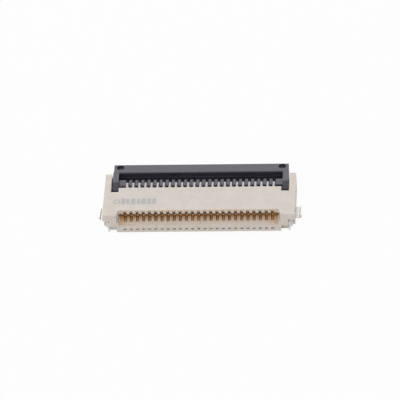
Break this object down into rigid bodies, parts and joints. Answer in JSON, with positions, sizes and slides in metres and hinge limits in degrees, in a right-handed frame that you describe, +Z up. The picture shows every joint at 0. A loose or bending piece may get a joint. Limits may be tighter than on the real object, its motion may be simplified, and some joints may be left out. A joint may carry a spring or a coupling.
{
  "type": "fpc connector",
  "caption": "Fine-pitch flat cable connector for surface mounting, with contacts on both sides of the cable and a rear flip lever that locks it.",
  "frame": {"origin": "middle of the part's box, at the height of the circuit board it is soldered to", "axes": "+X along the contact row, +Y from the cable's mouth to the lever at the rear, +Z up from the board"},
  "size_m": [0.0166, 0.0064, 0.002],
  "materials": {
    "housing": "smooth ivory moulding",
    "actuator": "satin black moulding",
    "contact": "thinly gold-plated bronze",
    "hold_down": "dull tin plate"
  },
  "bodies": {
    "housing": {"housing": "housing", "hold_down_left": "hold_down", "hold_down_right": "hold_down", "contact_01": "contact", "contact_02": "contact", "contact_03": "contact", "contact_04": "contact", "contact_05": "contact", "contact_06": "contact", "contact_07": "contact", "contact_08": "contact", "contact_09": "contact", "contact_10": "contact", "contact_11": "contact", "contact_12": "contact", "contact_13": "contact", "contact_14": "contact", "contact_15": "contact", "contact_16": "contact", "contact_17": "contact", "contact_18": "contact", "contact_19": "contact", "contact_20": "contact", "contact_21": "contact", "contact_22": "contact", "contact_23": "contact", "contact_24": "contact", "contact_25": "contact"},
    "actuator": {"actuator": "actuator"}
  },
  "joints": [
    {"name": "actuator_flip", "type": "hinge", "parent": "housing", "child": "actuator", "pos_m": [0, 0.00074, 0.0013], "axis": [1, 0, 0], "range_deg": [0, 90]}
  ]
}
